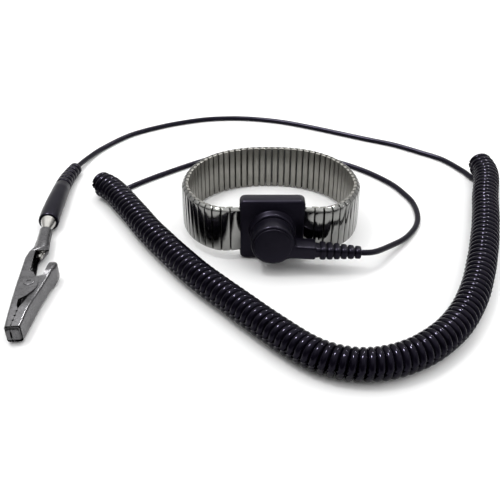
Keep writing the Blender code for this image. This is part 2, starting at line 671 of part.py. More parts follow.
def build_clip(collection):
    mouth = at(*PLUG_MOUTH)
    along = Vector(PLUG_DIRECTION).normalized()
    across = Vector((-along.y, along.x, 0.0))
    rivet_point = (mouth + along * RIVET_AT) * MM

    # Lower jaw, folded in one piece with the barrel: (u, edge, back, half height, corner, sheet)
    stations = [
        (26.0, -0.9, -2.9, 3.2, 1.2, SHEET), (30.0, -0.9, -3.3, 3.8, 0.9, SHEET),
        (37.4, -0.8, -4.0, 3.9, 0.9, SHEET), (38.4, 0.8, -4.05, 3.9, 0.9, SHEET),
        (40.0, 1.4, -4.1, 3.9, 0.9, SHEET), (41.6, 2.4, -4.15, 3.9, 0.9, SHEET),
        (43.7, 3.1, -4.2, 3.9, 0.9, SHEET), (46.2, 3.0, -4.25, 3.9, 0.9, SHEET),
        (48.6, 2.1, -4.25, 3.9, 0.9, SHEET), (51.4, 0.1, -4.3, 3.9, 0.9, SHEET),
        (53.0, -2.0, -4.3, 3.9, 0.9, SHEET), (56.2, -1.9, -4.3, 3.85, 0.9, SHEET),
        (57.6, -1.4, -4.3, 3.8, 0.9, SHEET),
    ]
    for u, height in notches(58.8, 2.15, 4, 0.4):
        stations.append((u, -1.4 - (u - 57.6) * 0.12 - height, -4.35, 3.8 - (u - 57.6) * 0.06, 0.9, SHEET))
    stations += [(65.5, -2.55, -4.4, 2.9, 0.9, SHEET), (66.3, -2.7, -4.1, 1.9, 0.5, SHEET)]
    rings = [barrel_ring(mouth, along, across, u) for u in (BARREL_START, BARREL_END)]
    rings += [channel_ring(mouth, along, across, s, -1) for s in stations]
    lower = add_object("clip_lower_jaw", rings_to_mesh(rings), NICKEL, collection)
    combine(lower, lathe([(-6, 0), (-6, 1.26), (6, 1.26), (6, 0)], mouth + along * RIVET_AT,
                         Z_AXIS, 20), "DIFFERENCE")
    set_origin(lower, mouth * MM)

    stations = [
        (31.3, 6.2, 7.2, 1.9, 0.45, SHEET), (31.7, 5.8, 7.7, 2.7, 0.8, SHEET),
        (33.0, 5.3, 8.0, 3.6, 0.9, SHEET), (35.0, 4.9, 7.8, 3.9, 0.9, SHEET),
        (38.0, 4.4, 6.7, 3.9, 0.9, SHEET), (39.3, 4.1, 6.3, 3.2, 0.9, SHEET),
        (40.4, 0.6, 6.0, 3.2, 0.9, SHEET), (41.6, -1.7, 5.7, 3.2, 0.9, SHEET),
        (45.4, -1.9, 4.8, 3.2, 0.9, SHEET), (48.0, -0.8, 4.1, 3.2, 0.9, SHEET),
        (51.0, 0.7, 3.4, 3.2, 0.9, SHEET), (52.6, 0.6, 3.0, 3.6, 0.9, SHEET),
        (56.2, -0.6, 2.3, 3.85, 0.9, SHEET), (57.6, -1.1, 2.0, 3.8, 0.9, SHEET),
    ]
    for u, height in notches(58.8, 2.15, 4, 0.4):
        back = 2.0 - (u - 57.6) * 0.155
        stations.append((u, -1.1 - (u - 57.6) * 0.12 + height, back, 3.8 - (u - 57.6) * 0.06, 0.9, SHEET))
    stations += [(65.5, -2.25, 0.6, 2.9, 0.9, SHEET), (66.3, -2.4, 0.2, 1.9, 0.5, SHEET)]
    rings = [channel_ring(mouth, along, across, s, 1) for s in stations]
    upper = add_object("clip_upper_jaw", rings_to_mesh(rings), NICKEL, collection)
    combine(upper, lathe([(-6, 0), (-6, 1.26), (6, 1.26), (6, 0)], mouth + along * RIVET_AT,
                         Z_AXIS, 20), "DIFFERENCE")
    set_origin(upper, rivet_point)

    pin = [(-4.3, 0), (-4.3, 1.5), (-4.15, 1.9), (-3.98, 1.9), (-3.98, RIVET_RADIUS),
           (3.98, RIVET_RADIUS), (3.98, 1.9), (4.15, 1.9), (4.3, 1.5), (4.3, 0)]
    rivet = add_object("clip_rivet", lathe(pin, mouth + along * RIVET_AT, Z_AXIS, 24), NICKEL, collection)
    set_origin(rivet, rivet_point)

    wire = []
    centre = mouth + along * RIVET_AT
    for u, v, w in ((-11.5, -1.9, -1.9), (-6.0, -1.8, -1.9)):
        wire.append(centre + along * u + across * v + Z_AXIS * w)
    turns = 4.37
    steps = 56
    for i in range(steps + 1):
        angle = -math.pi / 2 + 2 * math.pi * turns * i / steps
        height = -1.9 + 3.8 * i / steps
        offset = along * (1.75 * math.cos(angle)) + across * (1.75 * math.sin(angle))
        wire.append(centre + offset + Z_AXIS * height)
    for u, v, w in ((-3.6, 4.0, 1.9), (-8.2, 6.2, 1.9)):
        wire.append(centre + along * u + across * v + Z_AXIS * w)
    spring = add_object("clip_spring", tube(wire, [0.32] * len(wire), sides=6), STEEL, collection)
    set_origin(spring, rivet_point)


clear_scene()
PARTS = new_collection("esd_wrist_strap")
CUTTERS = new_collection("cutters")
CUTTERS.hide_render = True

tilt_origin = at(0, HOUSING_REAR, 0)
tilt_matrix = (
    Matrix.Translation(tilt_origin)
    @ Matrix.Rotation(-math.radians(TILT_DEGREES), 4, "X")
    @ Matrix.Translation(-tilt_origin)
)
wrist_unit = bpy.data.objects.new("wrist_unit", None)
wrist_unit.empty_display_size = 0.02
PARTS.objects.link(wrist_unit)
scaled = tilt_matrix.copy()
scaled.translation = tilt_matrix.translation * MM
wrist_unit.matrix_world = scaled

build_housing(PARTS, wrist_unit)
build_band(PARTS, wrist_unit)
build_connector(PARTS, wrist_unit)
build_cord(PARTS, tilt_matrix)
build_plug(PARTS)
build_clip(PARTS)
bpy.context.view_layer.update()
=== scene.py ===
"""The looks of the ESD wrist strap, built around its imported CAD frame.

Lengths below are in millimetres and are turned into metres when a mesh is made.
"""

import math

import bmesh
import bpy
from mathutils import Matrix, Vector


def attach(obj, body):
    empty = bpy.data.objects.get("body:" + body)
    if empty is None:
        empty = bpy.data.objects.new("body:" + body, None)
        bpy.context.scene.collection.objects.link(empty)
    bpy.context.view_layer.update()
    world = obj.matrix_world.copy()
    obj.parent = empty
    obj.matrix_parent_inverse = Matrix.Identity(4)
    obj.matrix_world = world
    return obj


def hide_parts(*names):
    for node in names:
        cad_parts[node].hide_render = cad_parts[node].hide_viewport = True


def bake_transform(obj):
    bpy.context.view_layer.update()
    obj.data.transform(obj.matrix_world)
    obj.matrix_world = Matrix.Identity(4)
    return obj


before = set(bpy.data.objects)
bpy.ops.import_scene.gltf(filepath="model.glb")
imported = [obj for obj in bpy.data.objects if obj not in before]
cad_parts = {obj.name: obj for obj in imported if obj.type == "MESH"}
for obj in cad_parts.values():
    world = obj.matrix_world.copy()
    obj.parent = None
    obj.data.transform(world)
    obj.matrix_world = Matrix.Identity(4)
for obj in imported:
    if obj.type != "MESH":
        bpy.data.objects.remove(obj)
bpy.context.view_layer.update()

MM = 0.001
X_AXIS = Vector((1.0, 0.0, 0.0))
Y_AXIS = Vector((0.0, 1.0, 0.0))
Z_AXIS = Vector((0.0, 0.0, 1.0))

# ---- driving dimensions, shared with the CAD part ----
ORIGIN_Y = 3.8
BAND_HALF_WIDTH = 33.4
BAND_BACK_DEPTH = 34.1
BAND_BACK_POWER = 2.25
BAND_FRONT_PATH = (
    (-10.0, -19.9), (-13.0, -20.8), (-16.2, -21.35), (-19.2, -21.2), (-22.2, -20.0), (-25.2, -17.8),
    (-28.0, -14.8), (-30.3, -11.0), (-32.0, -6.8), (-33.1, -2.6),
)
BAND_WIDTH = 18.0
LINK_STRETCH = 0.07
LINKS_PER_SEGMENT = 5
SEGMENTS_PER_SIDE = 6
HOUSING_WIDTH = 23.8
HOUSING_HEIGHT = 24.0
HOUSING_FRONT = -22.0
HOUSING_REAR = -16.25
BOSS_FRONT = -24.8
TILT_DEGREES = 3.32
STUD_HEIGHT = 11.7
BAND_HEIGHT = 12.0
HEAD_RADIUS = 7.7
HEAD_REAR = -25.4
HEAD_FACE = -32.4
HEAD_FRONT = -33.0
STEM_Y = -29.4
STEM_BELOW = 2.5
STEM_DROP_DEGREES = 3.7
NECK_HALF_HEIGHT = 2.5
NECK_END = 15.6
STEM_END = 32.3
RIB_PITCH = 2.56
RIB_COUNT = 6
LEAD_RADIUS = 1.1
COIL_RADIUS = 5.35
COIL_HEIGHT = 5.38
WIRE_RADIUS = 1.28
PLUG_MOUTH = (-87.6, -3.0, 4.3)
PLUG_DIRECTION = (0.1, -0.99499, 0.0)
RIVET_AT = 43.7


def at(x, y, z):
    """A point of the object, from the oval's centre to the frame's own origin."""
    return Vector((x, y - ORIGIN_Y, z))


def tilt_matrix():
    pivot = at(0, HOUSING_REAR, 0)
    turn = Matrix.Rotation(-math.radians(TILT_DEGREES), 4, "X")
    return Matrix.Translation(pivot) @ turn @ Matrix.Translation(-pivot)


TILT = tilt_matrix()

# ---- materials ----


def shader_of(name):
    made = bpy.data.materials.new(name)
    made.use_nodes = True
    nodes = made.node_tree.nodes
    return made, nodes, made.node_tree.links, nodes["Principled BSDF"]


def noise_node(nodes, links, scale, detail=3.0, stretch=(1.0, 1.0, 1.0)):
    """Noise over the object's own space, with features about 1/scale metres across."""
    place = nodes.new("ShaderNodeTexCoord")
    mapping = nodes.new("ShaderNodeMapping")
    mapping.inputs["Scale"].default_value = stretch
    noise = nodes.new("ShaderNodeTexNoise")
    noise.inputs["Scale"].default_value = scale
    noise.inputs["Detail"].default_value = detail
    links.new(place.outputs["Object"], mapping.inputs["Vector"])
    links.new(mapping.outputs["Vector"], noise.inputs["Vector"])
    return noise


def ramp_of(nodes, links, source, low, high, start=0.3, end=0.7):
    ramp = nodes.new("ShaderNodeMapRange")
    ramp.inputs["From Min"].default_value = start
    ramp.inputs["From Max"].default_value = end
    ramp.inputs["To Min"].default_value = low
    ramp.inputs["To Max"].default_value = high
    links.new(source, ramp.inputs["Value"])
    return ramp.outputs["Result"]


def color_mix(nodes, links, source, low, high):
    ramp = nodes.new("ShaderNodeValToRGB")
    ramp.color_ramp.elements[0].position = 0.3
    ramp.color_ramp.elements[1].position = 0.72
    ramp.color_ramp.elements[0].color = (*low, 1.0)
    ramp.color_ramp.elements[1].color = (*high, 1.0)
    links.new(source, ramp.inputs["Fac"])
    return ramp.outputs["Color"]


def bump_from(nodes, links, source, shader, distance, strength=1.0):
    bump = nodes.new("ShaderNodeBump")
    bump.inputs["Strength"].default_value = strength
    bump.inputs["Distance"].default_value = distance
    links.new(source, bump.inputs["Height"])
    links.new(bump.outputs["Normal"], shader.inputs["Normal"])


def metal(name, low, high, rough, grain=900.0, stretch=(1.0, 1.0, 1.0), bump=0.000004):
    """A metal whose tone and roughness wander a little, with fine grain."""
    made, nodes, links, shader = shader_of(name)
    shader.inputs["Metallic"].default_value = 1.0
    cloud = noise_node(nodes, links, 260.0, 4.0)
    fine = noise_node(nodes, links, grain, 4.0, stretch)
    links.new(color_mix(nodes, links, cloud.outputs["Fac"], low, high), shader.inputs["Base Color"])
    links.new(ramp_of(nodes, links, fine.outputs["Fac"], rough[0], rough[1]), shader.inputs["Roughness"])
    bump_from(nodes, links, fine.outputs["Fac"], shader, bump)
    return made


def moulded(name, low, high, rough, grain, bump, gloss=0.3):
    """Moulded plastic or vinyl, with faint mottling and fine surface grain."""
    made, nodes, links, shader = shader_of(name)
    shader.inputs["Specular IOR Level"].default_value = gloss
    shader.inputs["Specular Tint"].default_value = (0.76, 0.69, 1.0, 1.0)
    cloud = noise_node(nodes, links, 120.0, 3.0)
    fine = noise_node(nodes, links, grain, 3.0)
    links.new(color_mix(nodes, links, cloud.outputs["Fac"], low, high), shader.inputs["Base Color"])
    links.new(ramp_of(nodes, links, cloud.outputs["Fac"], rough[0], rough[1]), shader.inputs["Roughness"])
    bump_from(nodes, links, fine.outputs["Fac"], shader, bump)
    return made


COVER_STEEL = metal("cover_steel", (0.185, 0.185, 0.18), (0.235, 0.235, 0.225), (0.07, 0.14), 1500.0,
                    (1.0, 1.0, 0.08), 0.000002)
BAR_STEEL = metal("bar_steel", (0.2, 0.195, 0.18), (0.25, 0.245, 0.225), (0.34, 0.46), 1800.0,
                  (1.0, 1.0, 0.12), 0.000004)
# Dark steel for the blocks between covers and bars: painted shade that shows in the gaps between links.
GAP_SHADE_STEEL = metal("gap_shade_steel", (0.05, 0.05, 0.05), (0.08, 0.08, 0.08), (0.4, 0.5))
CLIP_STEEL = metal("clip_steel", (0.09, 0.089, 0.092), (0.125, 0.123, 0.128), (0.24, 0.36), 1400.0)
NICKEL = metal("nickel", (0.3, 0.295, 0.28), (0.4, 0.39, 0.37), (0.1, 0.16), 1200.0)
HOUSING_BLACK = moulded("housing_black", (0.0032, 0.0027, 0.0055), (0.0055, 0.0048, 0.009), (0.34, 0.44),
                        2600.0, 0.000012, 0.13)
CONNECTOR_BLACK = moulded("connector_black", (0.003, 0.0026, 0.005), (0.005, 0.0045, 0.008),
                          (0.28, 0.38), 2200.0, 0.000008, 0.13)
CORD_BLACK = moulded("cord_black", (0.0022, 0.0017, 0.0038), (0.004, 0.0033, 0.0065), (0.12, 0.2),
                     1500.0, 0.000003, 0.11)
LEAD_BLACK = moulded("lead_black", (0.003, 0.0026, 0.0052), (0.005, 0.0045, 0.008), (0.26, 0.36),
                     1500.0, 0.000005, 0.12)
ENAMEL = moulded("resistor_enamel", (0.36, 0.5, 0.58), (0.42, 0.56, 0.63), (0.25, 0.35), 900.0, 0.000005, 0.5)
BRASS = metal("brass", (0.66, 0.5, 0.24), (0.74, 0.58, 0.3), (0.2, 0.3))

# ---- mesh helpers ----


def piece(name, verts, faces, materials, slots, sharp):
    """A mesh object from points in millimetres."""
    mesh = bpy.data.meshes.new(name)
    mesh.from_pydata([Vector(v) * MM for v in verts], [], faces)
    for made in materials:
        mesh.materials.append(made)
    mesh.polygons.foreach_set("material_index", slots)
    mesh.update()
    mesh.polygons.foreach_set("use_smooth", [True] * len(mesh.polygons))
    mesh.set_sharp_from_angle(angle=math.radians(sharp))
    obj = bpy.data.objects.new(name, mesh)
    bpy.context.scene.collection.objects.link(obj)
    return obj


class Shape:
    """Points and faces gathered from several closed forms."""

    def __init__(self):
        self.verts = []
        self.faces = []
        self.slots = []

    def loft(self, rings, slot=0):
        """Joins rings of equally many points, and closes both ends."""
        base = len(self.verts)
        count = len(rings[0])
        last = base + (len(rings) - 1) * count
        for ring in rings:
            self.verts += ring
        for low in range(base, last, count):
            high = low + count
            for j in range(count):
                k = (j + 1) % count
                self.faces.append((low + j, high + j, high + k, low + k))
                self.slots.append(slot)
        self.faces.append([base + j for j in range(count)])
        self.faces.append([last + count - 1 - j for j in range(count)])
        self.slots += [slot, slot]

    def lathe(self, profile, base, direction, slot=0, sides=48):
        """Turns (distance, radius) points about a line; end radii of 0 close to a point."""
        side, up = frame_of(direction)
        along = direction.normalized()
        rings = []
        for distance, radius in profile:
            ring = []
            for j in range(sides):
                angle = 2 * math.pi * j / sides
                out = side * math.cos(angle) + up * math.sin(angle)
                ring.append(base + along * distance + out * max(radius, 0.002))
            rings.append(ring)
        self.loft(rings, slot)

    def tube(self, path, radius, sides):
        """Sweeps a circle along a path."""
        rings = []
        for point, heading in zip(path, directions_of(path)):
            rings.append(ring_round(point, heading, radius, sides))
        self.loft(rings)

    def make(self, name, materials, sharp=35.0):
        """Makes the object; edges sharper than this angle in degrees are shaded as edges."""
        obj = piece(name, self.verts, self.faces, materials, self.slots, sharp)
        outward(obj)
        return obj


def outward(obj):
    """Turns every closed form's faces to the outside."""
    made = bmesh.new()
    made.from_mesh(obj.data)
    bmesh.ops.recalc_face_normals(made, faces=made.faces[:])
    made.to_mesh(obj.data)
    made.free()


def frame_of(direction):
    """Two directions square to this one: to its side, and as far upward as it allows."""
    direction = direction.normalized()
    side = direction.cross(Z_AXIS)
    if side.length < 1e-6:
        side = direction.cross(X_AXIS)
    side.normalize()
    return side, side.cross(direction).normalized()


def ring_round(point, direction, radius, sides):
    """A circle of points about a line."""
    side, up = frame_of(direction)
    ring = []
    for j in range(sides):
        angle = 2 * math.pi * j / sides
        ring.append(point + side * (radius * math.cos(angle)) + up * (radius * math.sin(angle)))
    return ring


def directions_of(path):
    """The heading at each point, from the point before it to the point after it."""
    found = []
    for i in range(len(path)):
        found.append(path[min(i + 1, len(path) - 1)] - path[max(i - 1, 0)])
    return found


def smooth_path(points, step):
    """A Catmull-Rom curve through the points, with about one point per step."""
    points = [Vector(p) for p in points]
    ends = [points[0] * 2 - points[1]] + points + [points[-1] * 2 - points[-2]]
    path = []
    for i in range(1, len(ends) - 2):
        a, b, c, d = ends[i - 1 : i + 3]
        pieces = max(1, round((c - b).length / step))
        for k in range(pieces):
            t = k / pieces
            blend = 2 * b + (c - a) * t + (2 * a - 5 * b + 4 * c - d) * t * t
            path.append((blend + (3 * b - a - 3 * c + d) * t**3) / 2)
    path.append(points[-1])
    return path


def even_path(path, step):
    """The same line with points an equal distance apart."""
    lengths = path_lengths(path)
    count = max(2, round(lengths[-1] / step))
    found = []
    i = 1
    for k in range(count + 1):
        want = lengths[-1] * k / count
        while i < len(lengths) - 1 and lengths[i] < want:
            i += 1
        part = (want - lengths[i - 1]) / (lengths[i] - lengths[i - 1])
        found.append(path[i - 1].lerp(path[i], part))
    return found


def relaxed(path, rounds):
    """The same line with its small wobbles averaged out; the ends stay."""
    for _ in range(rounds):
        inner = [(a + b * 2 + c) / 4 for a, b, c in zip(path, path[1:], path[2:])]
        path = [path[0]] + inner + [path[-1]]
    return path


def path_lengths(path):
    """How far along the path each of its points lies."""
    lengths = [0.0]
    for a, b in zip(path, path[1:]):
        lengths.append(lengths[-1] + (b - a).length)
    return lengths


def between_marks(marks, place):
    """The value at a place, in straight lines between (place, value) marks."""
    for (a, low), (b, high) in zip(marks, marks[1:]):
        if place <= b:
            return low + (high - low) * (place - a) / (b - a)
    return marks[-1][1]


def rounded_outline(width, height, corner, steps=8):
    """A rectangle about the middle with round corners."""
    outline = []
    for quarter in range(4):
        sx = (1, -1, -1, 1)[quarter]
        sy = (1, 1, -1, -1)[quarter]
        for k in range(steps + 1):
            angle = math.pi / 2 * (quarter + k / steps)
            x = sx * (width / 2 - corner) + corner * math.cos(angle)
            y = sy * (height / 2 - corner) + corner * math.sin(angle)
            outline.append((x, y))
    return outline


def tilted(shape):
    """Moves a shape from the wristband unit's own upright space to where it lies."""
    shape.verts = [TILT @ Vector(v) for v in shape.verts]
    return shape


# ---- wristband ----


def back_point(angle):
    """A point of the back half of the oval, by an angle from the back that grows to the left."""
    x = -math.sin(angle)
    y = math.cos(angle)
    power = BAND_BACK_POWER
    scale = (abs(x / BAND_HALF_WIDTH) ** power + abs(y / BAND_BACK_DEPTH) ** power) ** (-1 / power)
    return Vector((x * scale, y * scale, 0.0))


def half_oval():
    """The left half of the oval, from the housing's side to the back, as a dense path."""
    points = [Vector((x, y, 0.0)) for x, y in BAND_FRONT_PATH]
    steps = 14
    for i in range(steps + 1):
        points.append(back_point(math.pi / 2 * (1 - i / steps)))
    path = smooth_path(points, 0.1)
    return [point for point in path if point.x < -HOUSING_WIDTH / 2 - 0.35 or point.y > 0]


def link_start(index, length):
    """How far along the half oval the link of this number starts."""
    part = index / (LINKS_PER_SEGMENT * SEGMENTS_PER_SIDE)
    return length * part * (1 + LINK_STRETCH * (1 - part))


def place_on(path, lengths, distance):
    """A point on the half oval with its heading and its outward direction."""
    if distance >= lengths[-1]:
        point = Vector((distance - lengths[-1], path[-1].y, 0.0))
        return point, X_AXIS, Y_AXIS
    i = 1
    while lengths[i] < distance and i < len(lengths) - 1:
        i += 1
    part = (distance - lengths[i - 1]) / (lengths[i] - lengths[i - 1])
    heading = (path[min(i + 6, len(path) - 1)] - path[max(i - 7, 0)]).normalized()
    return path[i - 1].lerp(path[i], part), heading, Vector((-heading.y, heading.x, 0.0))


# Outward of the band's middle line, and upward of its middle height
COVER_GAP = 0.24
BAR_GAP = 0.62
COVER_OUT = 1.2
COVER_IN = -0.1
COVER_BOW = 0.12
COVER_FOLD = 0.9
BAR_OUT = -0.3
BAR_IN = -1.45
INTO_HOUSING = 0.7
CORE_INSET = 1.3
STAPLE_TOP = 0.05
STAPLE_LENGTH = 1.1


def cover_rings(half_width, half_height, levels=12):
    """Cross-sections of a domed cover whose two ends are folded over inwards, top to bottom."""
    heights = [(half_height, 1.15), (half_height - 0.1, 0.85), (half_height - COVER_FOLD + 0.14, 0.2),
               (half_height - COVER_FOLD, 0.08), (half_height - COVER_FOLD - 0.12, 0.02)]
    straight = half_height - COVER_FOLD - 0.3
    for k in range(levels + 1):
        heights.append((straight - 2 * straight * k / levels, 0.0))
    heights += [(-z, drop) for z, drop in reversed(heights[:5])]
    rings = []
    for z, drop in heights:
        top = COVER_OUT - COVER_BOW * (z / half_height) ** 2 * (drop < 0.05) - drop
        if drop >= 0.05:
            top = COVER_OUT - COVER_BOW * (1 - COVER_FOLD / half_height) ** 2 - drop
        top = max(top, COVER_IN + 0.05)
        w = half_width - drop * 0.12
        edge = min(0.24, (top - COVER_IN) * 0.6)
        rings.append([(-w, COVER_IN, z), (-w, top - edge, z), (-w + edge * 0.35, top - edge * 0.25, z),
                      (-w + edge, top, z), (0.0, top + 0.015, z), (w - edge, top, z),
                      (w - edge * 0.35, top - edge * 0.25, z), (w, top - edge, z), (w, COVER_IN, z)])
    return rings


def bar_rings(half_width, half_height):
    """Cross-sections of a flat inner bar with softened ends and edges, top to bottom."""
    heights = [(half_height, 0.3), (half_height - 0.08, 0.12), (half_height - 0.3, 0.0)]
    heights += [(-z, drop) for z, drop in reversed(heights)]
    edge = 0.2
    rings = []
    for z, drop in heights:
        inner = BAR_IN + drop
        w = half_width - drop * 0.3
        rings.append([(-w, BAR_OUT, z), (-w, inner + edge, z), (-w + edge, inner, z),
                      (w - edge, inner, z), (w, inner + edge, z), (w, BAR_OUT, z)])
    return rings


def put_rings(shape, rings, point, heading, out, side, slot):
    """Places (across, outward, up) sections on the band, mirrored for its right half."""
    placed = []
    for ring in rings:
        row = []
        for across, outward_by, up in ring:
            spot = point + heading * across + out * outward_by
            row.append(at(side * spot.x, spot.y, BAND_HEIGHT + up))
        placed.append(row)
    shape.loft(placed, slot)


def core_rings(half_width, low, high):
    """A block, hidden but for the gaps between links, that ties a cover to the bars beside it; its dark steel
    is painted shade in those gaps.
    """
    reach = BAND_WIDTH / 2 - CORE_INSET
    return [[(-half_width, low, z), (-half_width, high, z), (half_width, high, z), (half_width, low, z)]
            for z in (-reach, reach)]


def staple_rings(end):
    """The bent lug that shows at a link's upper (1) or lower (-1) end."""
    outline = ((-0.3, -0.8), (-0.3, 0.1), (-0.15, 0.22), (0.15, 0.22), (0.3, 0.1), (0.3, -0.8))
    heights = (end * (BAND_WIDTH / 2 - STAPLE_LENGTH), end * (BAND_WIDTH / 2 - STAPLE_TOP))
    return [[(across, out, z) for across, out in outline] for z in heights]


def link_name(side_name, i):
    return f"link_{side_name}_{i + 1:02d}"


def band_body(side_name, k):
    """The body of one segment, counted from the housing; before the first comes the housing's own."""
    return "wristband_base" if k < 0 else f"band_{side_name}_{k + 1:02d}"


def spread_between(obj, b, weight):
    """Attaches a whole piece to body b when its weight is full; otherwise it stays where it lies, tied to no
    body.
    """
    if weight > 0.999:
        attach(obj, b)
        return
    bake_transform(obj)


def build_band():
    path = half_oval()
    lengths = path_lengths(path)
    length = lengths[-1]
    count = LINKS_PER_SEGMENT * SEGMENTS_PER_SIDE
    half = BAND_WIDTH / 2
    for side, side_name in ((1, "left"), (-1, "right")):
        for i in range(count):
            shape = Shape()
            start, middle, end = (link_start(i + part, length) for part in (0.0, 0.5, 1.0))
            point, heading, out = place_on(path, lengths, middle)
            rings = cover_rings((end - start - COVER_GAP) / 2, half)
            if i == 0:  # the first cover reaches into the housing's side
                rings = [[(a - INTO_HOUSING * (a < 0), o, z) for a, o, z in ring] for ring in rings]
            put_rings(shape, rings, point, heading, out, side, 0)
            # Slot 2 is the dark steel block: painted shade in the gaps between links.
            put_rings(shape, core_rings(0.9, -0.3, -0.05), point, heading, out, side, 2)
            if side_name == "left" or i < count - 1:
                point, heading, out = place_on(path, lengths, end)
                wide = link_start(i + 1.5, length) - middle - BAR_GAP
                put_rings(shape, bar_rings(wide / 2, half - 0.1), point, heading, out, side, 1)
                put_rings(shape, core_rings(0.8, -0.35, 0.0), point, heading, out, side, 2)
            point, heading, out = place_on(path, lengths, middle + (end - middle) * 0.5)
            for band_edge in (-1, 1):
                put_rings(shape, staple_rings(band_edge), point, heading, out, side, 3)
            tilted(shape)
            obj = shape.make(link_name(side_name, i), [COVER_STEEL, BAR_STEEL, GAP_SHADE_STEEL, NICKEL])
            k = i // LINKS_PER_SEGMENT
            if i % LINKS_PER_SEGMENT == LINKS_PER_SEGMENT - 1:
                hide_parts(band_body(side_name, k))
            weight = (i % LINKS_PER_SEGMENT + 1) / LINKS_PER_SEGMENT
            spread_between(obj, band_body(side_name, k), weight)


# ---- housing ----


def build_housing():
    """The housing's shell, with the round boss that the connector's head sits on."""
    shape = Shape()
    soft = 1.1
    corner = 2.0
    steps = 6
    depths = []
    for k in range(steps + 1):
        angle = math.pi / 2 * k / steps
        depths.append((HOUSING_FRONT + soft * (1 - math.cos(angle)), soft * (1 - math.sin(angle))))
    depths += [(HOUSING_REAR - 0.6, 0.0), (HOUSING_REAR - 0.18, 0.18), (HOUSING_REAR, 0.6)]
    rings = []
    for y, inset in depths:
        outline = rounded_outline(HOUSING_WIDTH - 2 * inset, HOUSING_HEIGHT - 2 * inset, corner - inset * 0.5)
        rings.append([at(a, y, HOUSING_HEIGHT / 2 + b) for a, b in outline])
    shape.loft(rings)
    boss = [(-HOUSING_FRONT - 1.0, 0.0), (-HOUSING_FRONT - 1.0, 8.8), (-HOUSING_FRONT + 0.02, 8.8),
            (-HOUSING_FRONT + 0.12, 8.55), (-HOUSING_FRONT + 0.4, 8.4), (-BOSS_FRONT - 0.5, 8.2),
            (-BOSS_FRONT - 0.15, 8.0), (-BOSS_FRONT, 7.6), (-BOSS_FRONT, 0.0)]
    shape.lathe(boss, at(0, 0, STUD_HEIGHT), -Y_AXIS, sides=64)
    obj = tilted(shape).make("housing_shell", [HOUSING_BLACK], sharp=50.0)
    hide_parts("housing_cover")
    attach(obj, "wristband_base")


# ---- snap connector ----


def stem_line():
    """The stem's start under the stud's axis, its direction and its upward direction."""
    angle = math.radians(STEM_DROP_DEGREES)
    along = Vector((math.cos(angle), 0.0, -math.sin(angle)))
    up = Vector((math.sin(angle), 0.0, math.cos(angle)))
    return at(0, STEM_Y, STUD_HEIGHT) - up * STEM_BELOW, along, up


def arc(centre, radius, first, last, steps):
    """Points on a circle, from one angle to another."""
    points = []
    for k in range(steps + 1):
        angle = first + (last - first) * k / steps
        points.append((centre[0] + radius * math.cos(angle), centre[1] + radius * math.sin(angle)))
    return points


def head_outline(inset):
    """The round head running into its low neck, as (along, up) points about the stud's axis."""
    radius = HEAD_RADIUS - inset
    top = NECK_HALF_HEIGHT - STEM_BELOW - inset
    bottom = -NECK_HALF_HEIGHT - STEM_BELOW + inset
    small = 1.5 + inset
    large = 4.0 + inset
    high = (math.sqrt((radius + small) ** 2 - (top + small) ** 2), top + small)
    low = (math.sqrt((radius + large) ** 2 - (bottom - large) ** 2), bottom - large)
    first = math.atan2(high[1], high[0])
    last = math.atan2(low[1], low[0])
    points = arc((0, 0), radius, first, last + 2 * math.pi, 72)
    points += arc(low, large, last + math.pi, math.pi / 2, 12)[1:]
    end = NECK_END - inset
    points += arc((end - 0.5, bottom + 0.5), 0.5, -math.pi / 2, 0, 4)
    points += arc((end - 0.5, top - 0.5), 0.5, 0, math.pi / 2, 4)
    points += arc(high, small, -math.pi / 2, first - math.pi, 8)[:-1]
    return points


def stem_ring(base, along, up, station):
    """One rounded cross-section of the stem: (distance, half depth, half height, corner)."""
    distance, depth, height, corner = station
    ring = []
    for a, b in rounded_outline(2 * depth, 2 * height, corner, 7):
        ring.append(base + along * distance + Y_AXIS * a + up * b)
    return ring


def stem_stations():
    """Cross-sections from inside the neck to the end of the last rib."""
    stations = [(12.0, 2.9, 2.0, 1.2), (15.9, 2.9, 2.0, 1.2)]
    for i in range(RIB_COUNT):
        middle = 18.2 + i * RIB_PITCH
        depth = 3.35 - 0.2 * i
        height = 2.5 - 0.09 * i
        corner = 1.3 + 0.05 * i
        half = RIB_PITCH / 2
        for k in range(11):
            angle = math.pi * k / 10
            cut = 0.62 * (1 - math.sin(angle) ** 0.45)
            stations.append((middle - (half - 0.22) * math.cos(angle), depth - cut, height - cut, corner))
    return stations


def build_connector_shell():
    """The connector's round head with its neck and ribbed stem."""
    base, along, up = stem_line()
    shape = Shape()
    depth = []
    front_soft = 0.65
    rear_soft = 0.5
    for k in range(6):
        angle = math.pi / 2 * k / 5
        depth.append((HEAD_FACE + front_soft * (1 - math.cos(angle)), front_soft * (1 - math.sin(angle))))
    for k in range(5):
        angle = math.pi / 2 * k / 4
        depth.append((HEAD_REAR - rear_soft * (1 - math.sin(angle)), rear_soft * (1 - math.cos(angle))))
    rings = []
    for y, inset in depth:
        rings.append([at(0, y, STUD_HEIGHT) + along * a + up * b for a, b in head_outline(inset)])
    shape.loft(rings)
    shape.loft([stem_ring(base, along, up, station) for station in stem_stations()])
    obj = tilted(shape).make("connector_shell", [CONNECTOR_BLACK], sharp=40.0)
    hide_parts("connector_body")
    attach(obj, "snap_connector")


